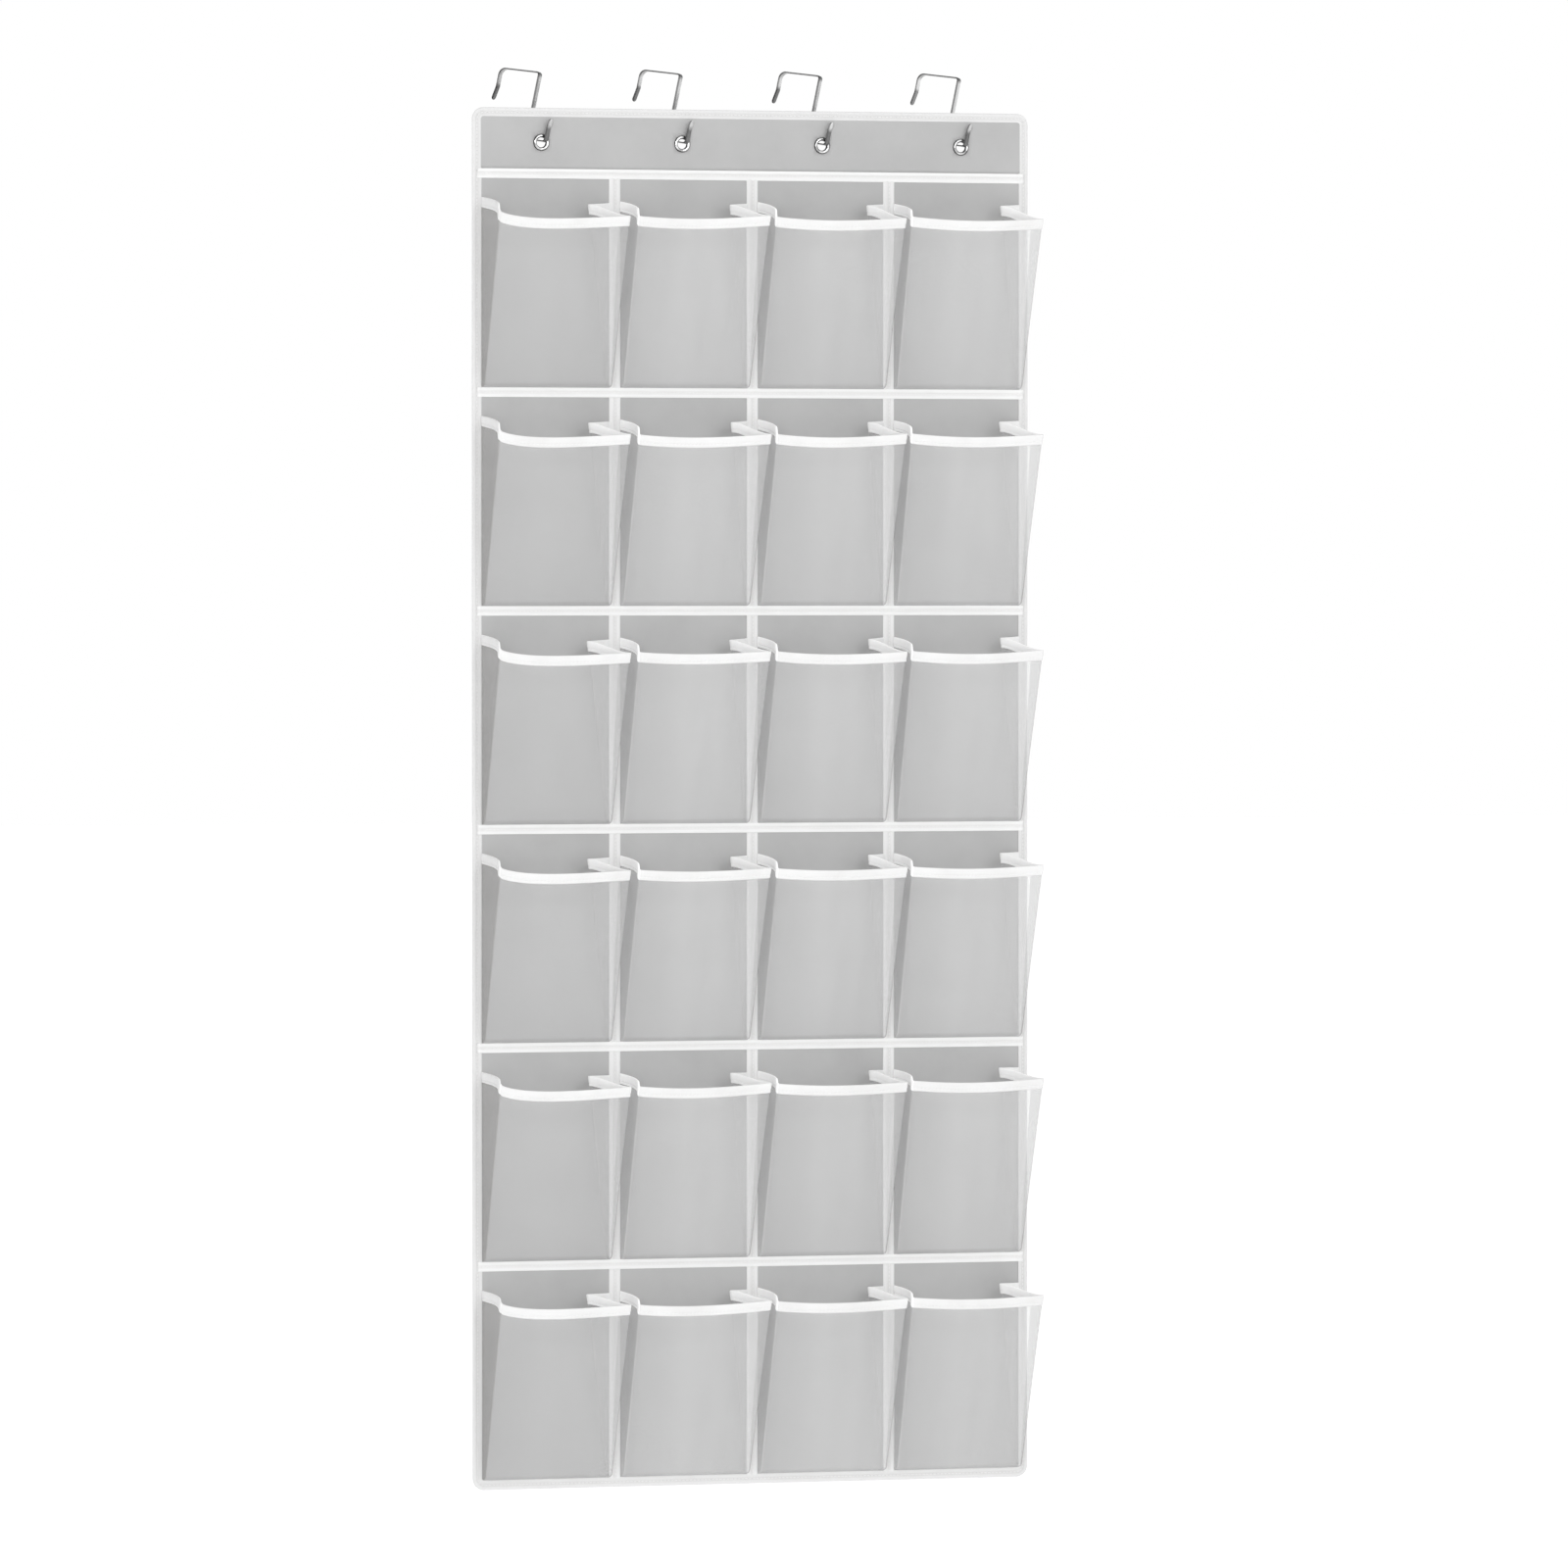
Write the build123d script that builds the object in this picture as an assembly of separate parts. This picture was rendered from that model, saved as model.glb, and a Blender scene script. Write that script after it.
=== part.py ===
from build123d import *
import os

# Over-the-door shoe organizer with 24 gusseted pockets, in millimetres.
# +Z is up and the pockets face -Y. The origin is the door's top front edge, at mid-width:
# a door under the seated hooks would have its front face at y = 0 and its top at z = 0.

# Panel
PANEL_WIDTH = 600.0
PANEL_HEIGHT = 1400.0
PANEL_CORNER = 12.0
ROWS = 6
COLUMNS = 4
CLOTH = 0.8          # thickness of the back cloth and of the header's second layer
TAPE = 0.6           # thickness of one layer of binding tape
BORDER = 10.0        # width of the binding round the panel
INNER_CORNER = 2.0   # radius of the binding's inner corners
ROW_TAPE = 10.0
COLUMN_TAPE = 12.0
HEADER_DROP = 66.6   # from the panel's top edge to the middle of the tape under the header
TAPE_LAP = 3.0       # how far a row tape's hump runs past a column tape
SEAM_GAP = 0.2       # air between a pocket and what it is sewn to
SIDE_GAP = 1.5       # air between a pocket's sewn edges and the tapes beside it

# Pockets
POCKET_DEPTH = 60.0  # front corners at the mouth
FLOOR_DEPTH = 8.0    # front at the bottom seam
PLEAT = 31.0         # how far the right side's pleat folds in at the mouth
FLARE = 1.0          # how far the front corners stand wider than the cell
MESH = 0.8
BACK_DROP = 22.0     # from the cell's top to the mouth at the panel
FRONT_DROP = 36.0    # from the cell's top to the mouth at the front
MOUTH_TAPE = 10.0

# Grommets
GROMMET_DROP = 35.0  # hole centre below the panel's top edge
GROMMET_SPACING = 151.0
HOLE_RADIUS = 5.0
BARREL_WALL = 0.5
FLANGE_RADIUS = 8.5
FLANGE = 0.8
RIM_ROUND = 0.35
BARREL_PLAY = 0.05

# Hooks, bent from flat steel strip
STRIP_WIDTH = 5.5
STRIP = 1.2
DOOR_GAP = 50.0      # thickest door that the hook goes over
HOOK_RISE = 70.0     # from the hole's centre to the underside of the top bar
STRIP_LIFT = 1.4     # strip's middle above the hole's centre, where it passes through
LIP_OFFSET = 5.8     # from the panel's middle forward to the lip
LEG_OFFSET = 18.9    # and back to the leg that lies on the door
BEND = 3.0           # bend radius at the strip's middle
LIP_HEIGHT = 25.0    # front lip's tip above the hole's centre
LIP_FLARE = (1.5, 8.0)
BACK_LEG = 33.0
BACK_FLARE = (3.0, 14.0)
# A hook that isn't on a door hangs twisted and leaning in its grommet.
HOOK_TWIST = 33.0    # degrees about Z
HOOK_LEAN = 12.0     # degrees about Y

panel_top = GROMMET_DROP - HOOK_RISE
panel_bottom = panel_top - PANEL_HEIGHT
panel_stack = CLOTH + 2 * TAPE
door_face_gap = LEG_OFFSET + STRIP / 2
grommet_length = 2 * CLOTH + 2 * TAPE + FLANGE - TAPE
grommet_middle_y = -door_face_gap
panel_back = grommet_middle_y + grommet_length / 2
cloth_back = panel_back - TAPE
cloth_front = cloth_back - CLOTH
inner_half = PANEL_WIDTH / 2 - BORDER
cell_width = (2 * inner_half - (COLUMNS - 1) * COLUMN_TAPE) / COLUMNS
column_pitch = cell_width + COLUMN_TAPE
row_pitch = (PANEL_HEIGHT - BORDER + ROW_TAPE / 2 - HEADER_DROP) / ROWS
cell_height = row_pitch - ROW_TAPE
header_tape_z = panel_top - HEADER_DROP
hole_z = panel_top - GROMMET_DROP
grommet_xs = [(i - 1.5) * GROMMET_SPACING for i in range(4)]


def slab(x0, x1, y0, y1, z0, z1):
    """A box between two corners."""
    middle = ((x0 + x1) / 2, (y0 + y1) / 2, (z0 + z1) / 2)
    return Pos(*middle) * Box(abs(x1 - x0), abs(y1 - y0), abs(z1 - z0))


def plate(width, height, corner, y0, y1, middle_z):
    """An upright plate with rounded corners, from y0 forward to y1."""
    face = Plane.XZ * RectangleRounded(width, height, corner)
    return Pos(0, y0, middle_z) * extrude(face, y0 - y1)


def upright_cylinder(radius, x, y0, y1, z):
    """A round bar along Y."""
    return Pos(x, (y0 + y1) / 2, z) * Rot(90, 0, 0) * Cylinder(radius, abs(y1 - y0))


def save(name, solids):
    """Writes one node. Several solids stay separate inside it."""
    shape = solids if not isinstance(solids, list) else Compound(children=solids)
    export_step(shape, f"parts/{name}.step")


def back_cloth():
    middle = (panel_top + panel_bottom) / 2
    cloth = plate(
        PANEL_WIDTH - 2 * TAPE,
        PANEL_HEIGHT - 2 * TAPE,
        PANEL_CORNER - TAPE,
        cloth_back,
        cloth_front,
        middle,
    )
    for x in grommet_xs:
        cloth -= barrel_hole(x)
    return cloth


def border_binding():
    """Tape folded over the cloth's edge: a back lip, an edge and a front lip."""
    middle = (panel_top + panel_bottom) / 2
    front = panel_back - panel_stack
    ring = plate(PANEL_WIDTH, PANEL_HEIGHT, PANEL_CORNER, panel_back, front, middle)
    window = plate(
        PANEL_WIDTH - 2 * BORDER,
        PANEL_HEIGHT - 2 * BORDER,
        INNER_CORNER,
        panel_back + 1,
        front - 1,
        middle,
    )
    slot = plate(
        PANEL_WIDTH - 2 * TAPE,
        PANEL_HEIGHT - 2 * TAPE,
        PANEL_CORNER - TAPE,
        cloth_back,
        cloth_front,
        middle,
    )
    return ring - window - slot


def header_band():
    """Second layer of cloth across the top, where the grommets sit."""
    top = panel_top - BORDER
    bottom = header_tape_z + ROW_TAPE / 2
    band = slab(-inner_half, inner_half, cloth_front, cloth_front - CLOTH, bottom, top)
    corners = band.edges().filter_by(Axis.Y).group_by(Axis.Z)[-1]
    band = fillet(corners, INNER_CORNER)
    for x in grommet_xs:
        band -= barrel_hole(x)
    return band


def barrel_hole(x):
    radius = HOLE_RADIUS + BARREL_WALL + BARREL_PLAY
    return upright_cylinder(radius, x, panel_back + 1, panel_back - 9, hole_z)


def column_tape_xs():
    return [(i - COLUMNS / 2 + 1) * column_pitch for i in range(COLUMNS - 1)]


def column_tapes():
    """Three tapes from the header's tape down to the border."""
    front = cloth_front - TAPE
    top = header_tape_z - ROW_TAPE / 2
    bottom = panel_bottom + BORDER
    half = COLUMN_TAPE / 2
    return [
        slab(x - half, x + half, cloth_front, front, bottom, top)
        for x in column_tape_xs()
    ]


def row_tape(z):
    """One tape across the panel, humped over each column tape."""
    front = cloth_front - TAPE
    low, high = z - ROW_TAPE / 2, z + ROW_TAPE / 2
    tape = slab(-inner_half, inner_half, cloth_front, front, low, high)
    half = COLUMN_TAPE / 2
    for x in column_tape_xs():
        tape -= slab(x - half, x + half, cloth_front + 1, front - 1, low - 1, high + 1)
    for x in column_tape_xs():
        hump = half + TAPE_LAP
        tape += slab(x - hump, x + hump, front, front - TAPE, low, high)
    return tape


def header_tape():
    """The tape under the header. The column tapes start below it, so it is flat."""
    low, high = header_tape_z - ROW_TAPE / 2, header_tape_z + ROW_TAPE / 2
    return slab(-inner_half, inner_half, cloth_front, cloth_front - TAPE, low, high)


def row_tapes():
    crossing = [row_tape(header_tape_z - i * row_pitch) for i in range(1, ROWS)]
    return [header_tape(), *crossing]


def eyelet(x):
    """Front flange and the barrel that goes through both layers of cloth."""
    flange_back = cloth_front - CLOTH
    flange = upright_cylinder(FLANGE_RADIUS, x, flange_back, flange_back - FLANGE, hole_z)
    rim = flange.edges().filter_by(GeomType.CIRCLE).group_by(Axis.Y)[0]
    flange = fillet(rim, RIM_ROUND)
    barrel = upright_cylinder(
        HOLE_RADIUS + BARREL_WALL, x, panel_back, flange_back, hole_z
    )
    hole = upright_cylinder(HOLE_RADIUS, x, panel_back + 1, panel_back - 9, hole_z)
    return flange + barrel - hole


def washer(x):
    """Ring on the back that the barrel is set against."""
    ring = upright_cylinder(FLANGE_RADIUS, x, panel_back, cloth_back, hole_z)
    return ring - barrel_hole(x)


def hook_line():
    """The strip's middle line, as (forward, up) from the hole's centre."""
    lip_out, lip_length = LIP_FLARE
    tip_out, tip_length = BACK_FLARE
    bar = HOOK_RISE + STRIP / 2
    rear = -LEG_OFFSET - DOOR_GAP - STRIP
    return [
        (LIP_OFFSET + lip_out, LIP_HEIGHT),
        (LIP_OFFSET, LIP_HEIGHT - lip_length),
        (LIP_OFFSET, STRIP_LIFT),
        (-LEG_OFFSET, STRIP_LIFT),
        (-LEG_OFFSET, bar),
        (rear, bar),
        (rear, bar - BACK_LEG + tip_length),
        (rear - tip_out, bar - BACK_LEG),
    ]


def tip_trim(end, before):
    """What comes off one end of the strip to leave it rounded in its own plane."""
    last, run_from = Vector(0, -end[0], end[1]), Vector(0, -before[0], before[1])
    along = (last - run_from).normalized()
    middle = last + along * (STRIP - STRIP_WIDTH) / 2
    frame = Plane(origin=middle, x_dir=(1, 0, 0), z_dir=Vector(1, 0, 0).cross(along))
    block = Pos(0, STRIP_WIDTH / 2, 0) * Box(2 * STRIP_WIDTH, STRIP_WIDTH, 4 * STRIP)
    return frame * (block - Cylinder(STRIP_WIDTH / 2, 5 * STRIP))


def seated_hook():
    """A hook square to the door, with the hole's centre at its origin."""
    points = hook_line()
    line = FilletPolyline(*points, radius=BEND)
    profile = make_face(offset(line, STRIP / 2, side=Side.BOTH, kind=Kind.ARC).edges())
    upright = Plane(origin=(0, 0, 0), x_dir=(0, -1, 0), z_dir=(-1, 0, 0))
    strip = extrude(upright * profile, STRIP_WIDTH / 2, both=True)
    return strip - tip_trim(points[0], points[1]) - tip_trim(points[-1], points[-2])


def hanging_pose(x):
    """Where a loose hook hangs in the grommet at x."""
    place = Pos(x, grommet_middle_y, hole_z)
    return place * Rot(0, HOOK_LEAN, 0) * Rot(0, 0, HOOK_TWIST)


def hook(x):
    return hanging_pose(x) * seated_hook()


def depth_share(z):
    """Pocket depth at height z above its bottom seam, as a share of POCKET_DEPTH."""
    front_height = cell_height - FRONT_DROP
    return (FLOOR_DEPTH + (POCKET_DEPTH - FLOOR_DEPTH) * z / front_height) / POCKET_DEPTH


def meeting(p, a, q, b):
    """Where the line from p along a crosses the line from q along b."""
    cross = a[0] * b[1] - a[1] * b[0]
    t = ((q[0] - p[0]) * b[1] - (q[1] - p[1]) * b[0]) / cross
    return (p[0] + a[0] * t, p[1] + a[1] * t)


def pocket_outline(share, grow, back_y):
    """Outline of a pocket in plan, moved outward by grow and closed along y = back_y."""
    seam = cell_width / 2 - SIDE_GAP
    fold = seam - PLEAT * share
    corner = seam + (SIDE_GAP + FLARE) * share
    path = [
        (-seam, 0),
        (-corner, -POCKET_DEPTH * share),
        (corner, -POCKET_DEPTH * share),
        (fold, -POCKET_DEPTH / 2 * share),
        (seam, 0),
    ]
    lines = []
    for p, q in zip(path, path[1:]):
        run = (q[0] - p[0], q[1] - p[1])
        length = (run[0] ** 2 + run[1] ** 2) ** 0.5
        out = (run[1] / length * grow, -run[0] / length * grow)
        lines.append(((p[0] + out[0], p[1] + out[1]), run))
    back = ((0, back_y), (1, 0))
    lines = [back, *lines, back]
    return [meeting(*a, *b) for a, b in zip(lines, lines[1:])]


def pocket_body(grow, back_y, floor, top):
    """The solid inside a pocket's outline, from the floor up past the mouth."""
    ends = []
    for z in (floor, top):
        points = pocket_outline(depth_share(z), grow, back_y)
        ends.append(Pos(0, 0, z) * make_face(Polyline(*points, close=True)))
    return loft(ends, ruled=True)


def below_mouth(lower):
    """Everything under the sloping mouth, lowered by a given amount."""
    slope = (BACK_DROP - FRONT_DROP) / POCKET_DEPTH
    back_z = cell_height - BACK_DROP - lower
    reach = 2 * POCKET_DEPTH
    side = [
        (-reach, back_z + reach * slope),
        (reach, back_z - reach * slope),
        (reach, -reach),
        (-reach, -reach),
    ]
    face = Plane.YZ * make_face(Polyline(*side, close=True))
    return extrude(face, cell_width, both=True)


def pocket_mesh():
    """One pocket: front, straight left side, pleated right side and a narrow floor.

    It is open at the top, and at the back, where the cloth closes it.
    """
    top = cell_height
    outer = pocket_body(0, 0, 0, top)
    inner = pocket_body(-MESH, 1, MESH, top)
    return (outer - inner) & below_mouth(MOUTH_TAPE)


def mouth_tape():
    """Binding folded over the mouth's edge."""
    top = cell_height
    outer = pocket_body(TAPE, 0, 1, top)
    inner = pocket_body(-MESH - TAPE, 1, 0, top)
    return ((outer - inner) & below_mouth(0)) - below_mouth(MOUTH_TAPE)


def pocket_place(row, column):
    """The bottom seam of a pocket, counted from the top left, at the front of the cloth."""
    x = (column - (COLUMNS - 1) / 2) * column_pitch
    z = header_tape_z - (row + 1) * row_pitch + ROW_TAPE / 2
    return Pos(x, cloth_front - SEAM_GAP, z + SEAM_GAP)


def main():
    os.makedirs("parts", exist_ok=True)
    save("back_cloth", back_cloth())
    save("border_binding", border_binding())
    save("header_band", header_band())
    save("row_tapes", row_tapes())
    save("column_tapes", column_tapes())
    save("grommet_eyelets", [eyelet(x) for x in grommet_xs])
    save("grommet_washers", [washer(x) for x in grommet_xs])
    for i, x in enumerate(grommet_xs):
        save(f"hook_{i + 1}", hook(x))
    mesh, tape = pocket_mesh(), mouth_tape()
    for row in range(ROWS):
        for column in range(COLUMNS):
            place = pocket_place(row, column)
            save(f"pocket_r{row + 1}_c{column + 1}", place * mesh)
            save(f"mouth_tape_r{row + 1}_c{column + 1}", place * tape)


main()
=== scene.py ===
import math

import bpy
import numpy as np
from mathutils import Matrix, Vector


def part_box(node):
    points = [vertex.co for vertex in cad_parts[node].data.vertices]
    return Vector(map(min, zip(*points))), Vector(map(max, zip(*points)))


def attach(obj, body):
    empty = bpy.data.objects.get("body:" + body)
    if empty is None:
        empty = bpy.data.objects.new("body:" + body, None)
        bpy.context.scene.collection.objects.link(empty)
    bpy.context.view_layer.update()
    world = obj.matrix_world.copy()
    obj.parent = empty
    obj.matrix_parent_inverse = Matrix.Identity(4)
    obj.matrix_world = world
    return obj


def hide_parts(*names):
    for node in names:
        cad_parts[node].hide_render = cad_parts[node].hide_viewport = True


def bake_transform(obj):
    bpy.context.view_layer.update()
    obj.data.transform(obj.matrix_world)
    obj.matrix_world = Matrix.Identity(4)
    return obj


# The over-the-door shoe organizer: cloth, tapes, 24 mesh pockets, eyelets and steel hooks.
# Everything is in metres in the CAD frame: +Z up, pockets face -Y.

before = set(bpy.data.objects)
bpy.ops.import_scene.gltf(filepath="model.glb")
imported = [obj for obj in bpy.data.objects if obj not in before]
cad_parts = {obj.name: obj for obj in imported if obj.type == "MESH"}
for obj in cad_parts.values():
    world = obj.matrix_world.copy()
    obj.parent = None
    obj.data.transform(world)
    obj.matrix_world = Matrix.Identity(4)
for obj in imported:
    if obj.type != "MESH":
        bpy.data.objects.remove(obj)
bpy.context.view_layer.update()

MM = 0.001
ROWS, COLUMNS = 6, 4

# Tapes
BORDER = 10 * MM           # width of the binding on each side of the panel
BORDER_LIP = 0.95 * MM     # height of its face above the cloth
BORDER_NOSE = 1.8 * MM     # width of the round fold at its outer edge
PANEL_CORNER = 12 * MM
ROW_TAPE = 10 * MM
COLUMN_TAPE = 12 * MM
STITCH = 4 * MM            # from one needle hole to the next
THREAD = 0.32 * MM         # radius of the sewing thread
# The binding of a mouth from its edge down: distance, and half its thickness there
BINDING_DOWN = MM * np.array([0, 0.25, 0.9, 2.2, 4.4, 6.2, 7.1, 7.6, 8.1, 9.0, 9.9, 10.5])
BINDING_HALF = MM * np.array([0.25, 0.75, 1.05, 1.15, 1.1, 1.05, 0.8, 0.62, 0.82, 0.98, 0.85, 0.4])
BINDING_SEAM = 7           # which of those places its seam runs through

# Pockets, in the plan of one cell: x from its middle, depth forward from the cloth
SEAM = 67.8 * MM           # from the cell's middle to a sewn side edge
POCKET_DEPTH = 60 * MM
FLOOR_DEPTH = 8 * MM
DEPTH_HEIGHT = 175.4 * MM  # height at which the front reaches POCKET_DEPTH
FLOOR_ROUND = 5 * MM       # height over which the front turns in to its bottom seam
TUCK = 2 * MM              # seam allowance under the tapes
NET_MIDDLE = 140 * MM      # from the left seam, round the mouth, to the middle of the front

# Places round a pocket, in the t of Pocket
# The right side's dark net, up to FOLD_SHADE, is painted shade.
FOLD_SHADE = 2.3           # where the right side's net turns from dark to light
# How far each corner's bend reaches before and after it
CORNER_REACH = {1: (0.035, 0.014), 2: (0.014, 0.05), 3: (0.045, 0.045)}

# For each column: how far in the right side folds, and how far the front's left and right
# corners stand out past the seams
PLEAT = MM * np.array([32, 27, 26.5, 30.5])
LEFT_FLARE = MM * np.array([1.2, 0.3, 0.3, 2.4])
RIGHT_FLARE = MM * np.array([3.4, 5.8, 4.8, 5.2])

# For each column: heights of the mouth above the cell's bottom, how deep the front's edge
# sags, and where along it, below 1 for left of the middle
MOUTH_LEFT_SEAM = MM * np.array([192.2, 189.0, 189.8, 189.3])
MOUTH_FRONT_LEFT = MM * np.array([177.3, 172.9, 173.4, 174.2])
MOUTH_FRONT_RIGHT = MM * np.array([173.0, 174.4, 173.7, 174.8])
MOUTH_FOLD = MM * np.array([184.9, 186.0, 186.7, 187.6])
MOUTH_RIGHT_SEAM = MM * np.array([187.3, 188.2, 188.8, 189.6])
MOUTH_SAG = MM * np.array([6.0, 3.2, 3.4, 3.2])
SAG_LEAN = [0.6, 0.85, 0.85, 0.9]
ROW_LIFT = MM * np.array([0, 0.8, 1.3, 3.0, 5.6, 5.9])    # added to each row's fronts

# Eyelets and hooks
EYELET_THROAT = 6.9 * MM   # over the dome, from the flange's outer edge to mid-throat
STRIP_WIDTH, STRIP = 6.1 * MM, 1.3 * MM
HOOK_TWIST, HOOK_LEAN = math.radians(33), math.radians(12)
# The middle of the strip, forward and up from the centre of its hole, and the bends' radii
HOOK_LINE = MM * np.array(
    [
        (7.3, 25),         # tip in front of the cloth
        (5.8, 17),
        (5.8, 1.4),        # through the eyelet
        (-18.9, 1.4),
        (-18.9, 70.6),     # over the door
        (-70.1, 70.6),
        (-70.1, 51.6),
        (-73.1, 37.6),     # tip behind the door
    ]
)
HOOK_BENDS = MM * np.array([3, 3, 3, 3, 7, 3])
STRIP_RUN = 195 * MM       # about the length of the whole strip
STRIP_EDGE = 7.1 * MM      # round the strip, from one edge to the other
# Painted shade along the strip, its lightness set to the photograph: share of STRIP_RUN, and value
STRIP_SHADES = [(0.03, 1.0), (0.055, 0.38), (0.12, 0.38), (0.17, 0.9), (0.56, 0.9), (0.585, 0.4)]
STRIP_SHADES += [(0.62, 0.6), (0.84, 0.6), (0.87, 1.0), (0.905, 1.0), (0.925, 0.38), (1.0, 0.38)]


def node_box(name):
    low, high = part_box(name)
    return np.array(low, float), np.array(high, float)


panel_low, panel_high = node_box("border_binding")
cloth_low, cloth_high = node_box("back_cloth")
band_low, band_high = node_box("header_band")
eyelets_low, eyelets_high = node_box("grommet_eyelets")
washers_back = node_box("grommet_washers")[1][1]

cloth_front, cloth_back = cloth_low[1], cloth_high[1]
band_front = band_low[1]
inner_half = band_high[0]
flange_radius = (eyelets_high[2] - eyelets_low[2]) / 2
hole_z = (eyelets_high[2] + eyelets_low[2]) / 2
outer_hole_x = eyelets_high[0] - flange_radius
hole_xs = np.linspace(-outer_hole_x, outer_hole_x, 4)
header_tape_z = band_low[2] - ROW_TAPE / 2


def cell_bottom(row):
    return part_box(f"pocket_r{row + 1}_c1")[0].z - 0.2 * MM


row_pitch = cell_bottom(0) - cell_bottom(1)
row_zs = [header_tape_z - i * row_pitch for i in range(ROWS)]


def cell_middle(column):
    low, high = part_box(f"mouth_tape_r1_c{column + 1}")
    return (low.x + high.x) / 2


column_pitch = cell_middle(1) - cell_middle(0)
column_xs = [(i - COLUMNS / 2 + 1) * column_pitch for i in range(COLUMNS - 1)]


def smooth(t):
    t = np.clip(t, 0, 1)
    return t * t * (3 - 2 * t)


def sway(x, z):
    """How far the hanging cloth stands off a flat plane. It is flat at the grommets."""
    slack = smooth((hole_z - 0.03 - z) / 0.3)
    wave = 0.5 * np.sin(2 * np.pi * (x / 0.47 + z / 1.9) + 0.6)
    wave = wave + 0.3 * np.sin(2 * np.pi * (x / 0.23 - z / 0.83) + 2.1)
    wave = wave + 0.2 * np.sin(2 * np.pi * (z / 0.44 + x / 1.7) + 4.0)
    return 1.1 * MM * slack * wave


# Mesh building


class Shell:
    """Points, faces and texture coordinates collected for one piece."""

    def __init__(self):
        self.points, self.faces, self.uvs, self.slots = [], [], [], []
        self.count = 0

    def add(self, points, faces, uvs, slot=0):
        """faces is a list of arrays, one row for each face; uvs matches it.

        slot is the number of the faces' material, or an array with one for each face.
        """
        self.points.append(np.asarray(points, float).reshape(-1, 3))
        for block, uv in zip(faces, uvs):
            self.faces.append(np.asarray(block, int) + self.count)
            self.uvs.append(np.asarray(uv, float).reshape(-1, 2))
        self.slots.append(np.broadcast_to(slot, sum(map(len, faces))))
        self.count += len(self.points[-1])

    def piece(self, name, materials):
        mesh = bpy.data.meshes.new(name)
        faces = [list(map(int, f)) for block in self.faces for f in block]
        mesh.from_pydata(np.concatenate(self.points).tolist(), [], faces)
        layer = mesh.uv_layers.new(name="Cloth")
        layer.data.foreach_set("uv", np.concatenate(self.uvs).ravel())
        mesh.polygons.foreach_set("material_index", np.concatenate(self.slots).astype(np.int32))
        mesh.polygons.foreach_set("use_smooth", np.ones(len(faces), bool))
        for material in materials:
            mesh.materials.append(material)
        mesh.update()
        obj = bpy.data.objects.new(name, mesh)
        bpy.context.scene.collection.objects.link(obj)
        return obj


def skin(points, u, v, around=False, along=False):
    """Quads over a grid of points. around joins its last column to the first, along its rows."""
    rows, columns = points.shape[:2]
    i, j = np.meshgrid(
        np.arange(rows - (not along)), np.arange(columns - (not around)), indexing="ij"
    )
    corners = [(i, j), (i, j + 1), (i + 1, j + 1), (i + 1, j)]
    faces = [(a % rows) * columns + b % columns for a, b in corners]
    uvs = [np.stack([u[a], v[b]], -1) for a, b in corners]
    faces = np.stack(faces, -1).reshape(-1, 4)
    return points, [faces], [np.stack(uvs, 2).reshape(-1, 4, 2)]


def capped(points, u, v):
    """A closed tube over rings of points, with flat ends."""
    shape, faces, uvs = skin(points, u, v, around=True)
    rings, sides = points.shape[:2]
    last = (rings - 1) * sides
    faces = faces + [[range(sides)[::-1]], [range(last, last + sides)]]
    flat = np.stack([np.zeros(sides), v[:sides]], -1)
    return shape, faces, uvs + [flat[None], flat[None] + [u[-1], 0]]


def lengths(points):
    """Distance along a line of points, from its start to each of them."""
    steps = np.linalg.norm(np.diff(points, axis=0), axis=1)
    return np.concatenate([[0], np.cumsum(steps)])


def spaced(anchors, step):
    """Grid lines through the anchors, no further apart than step."""
    lines = [anchors[0]]
    for a, b in zip(anchors, anchors[1:]):
        n = max(1, math.ceil((b - a) / step - 1e-6))
        lines += [a + (b - a) * k / n for k in range(1, n + 1)]
    return np.array(lines)


def stitches(shell, holes, ups):
    """Thread from each needle hole to the next, proud of the cloth, in the second material."""
    run = holes[1:] - holes[:-1]
    ups = (ups[1:] + ups[:-1]) / 2
    sides = np.cross(run, ups)
    sides = sides / np.linalg.norm(sides, axis=1)[:, None]
    share = np.array([0.06, 0.2, 0.8, 0.94])
    thick = np.array([0.45, 1.0, 1.0, 0.45]) * THREAD
    lift = np.array([-0.8, 0.45, 0.45, -0.8]) * THREAD
    angle = np.arange(5) * 2 * np.pi / 5 + np.pi / 2
    middle = holes[:-1, None] + run[:, None] * share[None, :, None]
    middle = middle + ups[:, None] * lift[None, :, None]
    ring = ups[:, None, :] * np.sin(angle)[None, :, None]
    ring = ring + sides[:, None, :] * np.cos(angle)[None, :, None]
    points = middle[:, :, None] + ring[:, None] * thick[None, :, None, None]
    one, faces, uvs = capped(points[0], share * STITCH, np.linspace(0, 5 * THREAD, 6))
    size = len(one.reshape(-1, 3))
    starts = np.arange(len(points)) * size
    faces = [(starts[:, None, None] + np.array(f)[None]).reshape(-1, len(f[0])) for f in faces]
    uvs = [np.tile(np.asarray(uv), (len(points), 1, 1)) for uv in uvs]
    shell.add(points, faces, uvs, 1)


# Materials


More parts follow.
